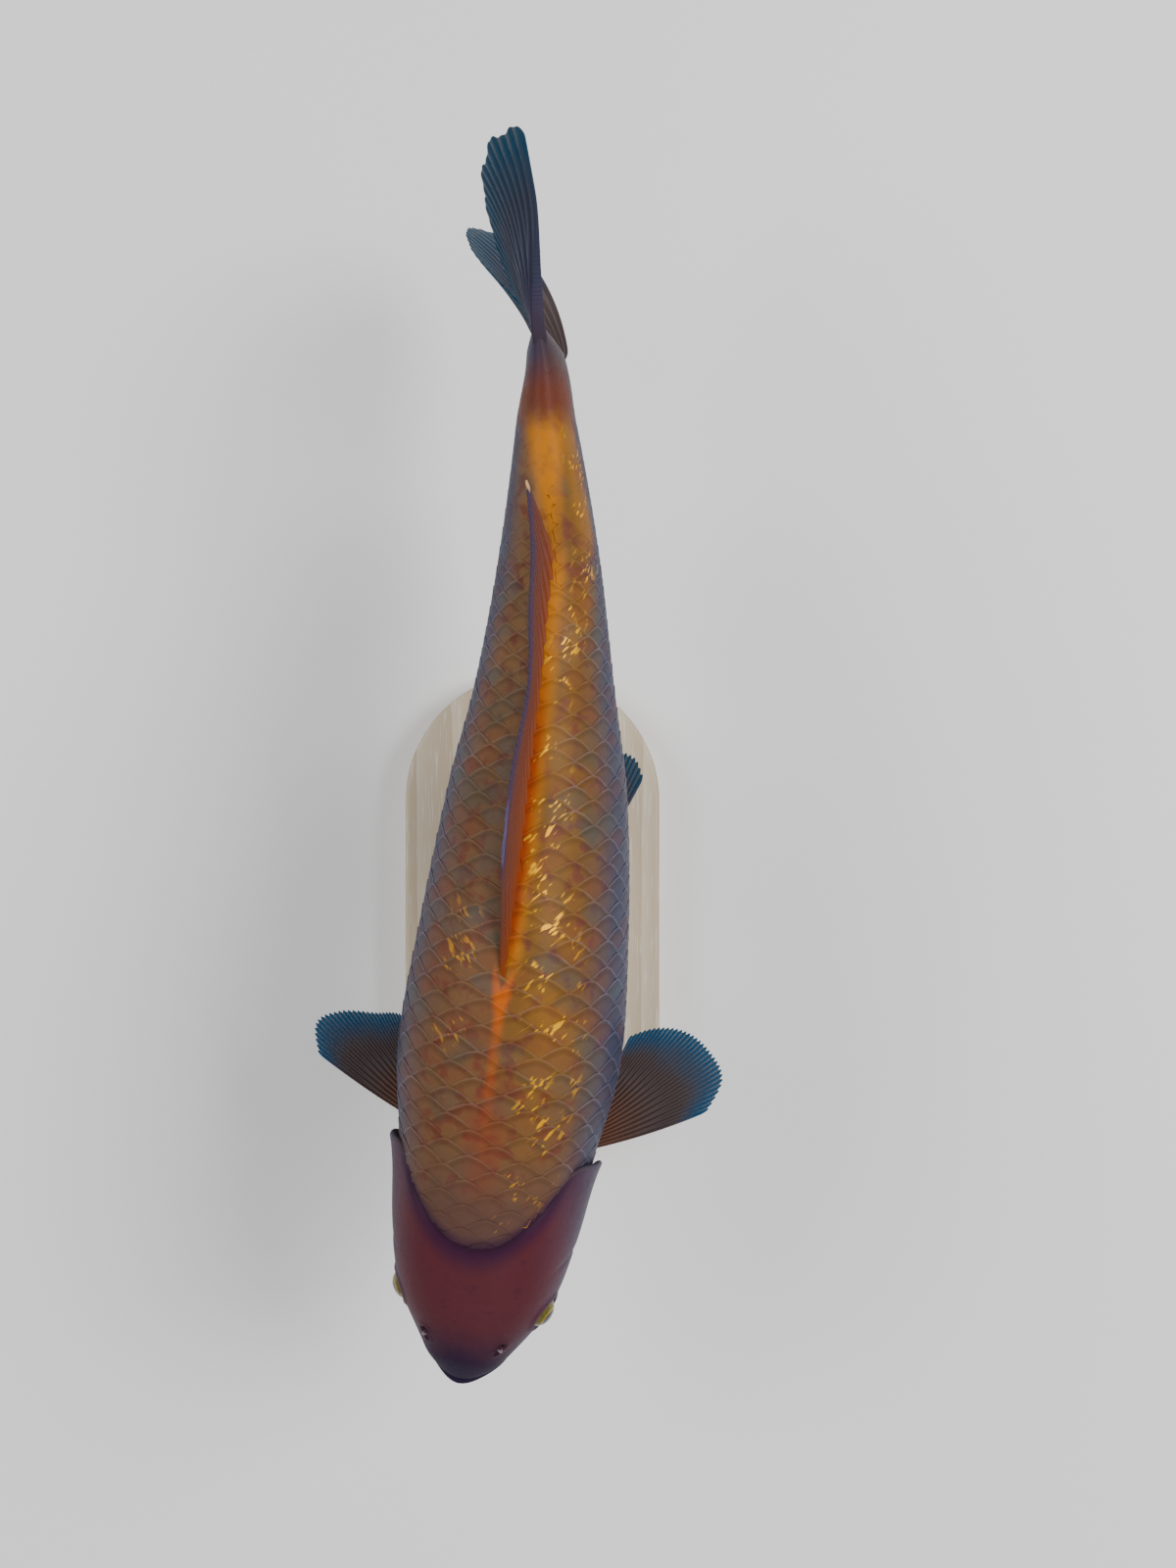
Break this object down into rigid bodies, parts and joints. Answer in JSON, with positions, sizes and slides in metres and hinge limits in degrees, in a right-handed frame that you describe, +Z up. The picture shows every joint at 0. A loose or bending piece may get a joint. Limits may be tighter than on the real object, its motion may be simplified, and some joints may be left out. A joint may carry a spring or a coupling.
{
  "type": "koi carp model",
  "caption": "Still life-size koi carp in a gentle swimming curve, golden brown scaled back and maroon head, on a plain display stand.",
  "frame": {"origin": "middle of the stand base's underside, on the floor", "axes": "+Z up, the fish's tail towards +Y and its head towards -Y, its left side towards +X"},
  "size_m": [0.1515, 0.4368, 0.1797],
  "materials": {
    "head_skin": "smooth scaleless fish skin with a wet gloss, maroon brown, bluish at the snout and gill covers",
    "scaled_skin": "fish scales with pale net-like margins, golden brown on the back, lilac grey on the flanks, with metallic gold glints",
    "fin_membrane": "thin rayed membrane, reddish grey at the base and blue green at the ray tips",
    "eye": "clear glossy eye with a yellow green iris and a black pupil",
    "stand_plate": "pale limed ash under satin lacquer",
    "stand_steel": "fine brushed"
  },
  "bodies": {
    "root": {"head": "head_skin", "lower_jaw": "head_skin", "gill_cover_left": "head_skin", "gill_cover_right": "head_skin", "trunk": "scaled_skin", "tail_stalk": "scaled_skin", "dorsal_fin": "fin_membrane", "anal_fin": "fin_membrane", "tail_fin_upper": "fin_membrane", "tail_fin_lower": "fin_membrane", "pectoral_fin_left": "fin_membrane", "pectoral_fin_right": "fin_membrane", "pelvic_fin_left": "fin_membrane", "pelvic_fin_right": "fin_membrane", "eye_left": "eye", "eye_right": "eye", "barbel_mouth_left": "head_skin", "barbel_mouth_right": "head_skin", "barbel_lip_left": "head_skin", "barbel_lip_right": "head_skin", "stand_base": "stand_plate", "stand_rod_front": "stand_steel", "stand_rod_rear": "stand_steel"}
  },
  "joints": []
}
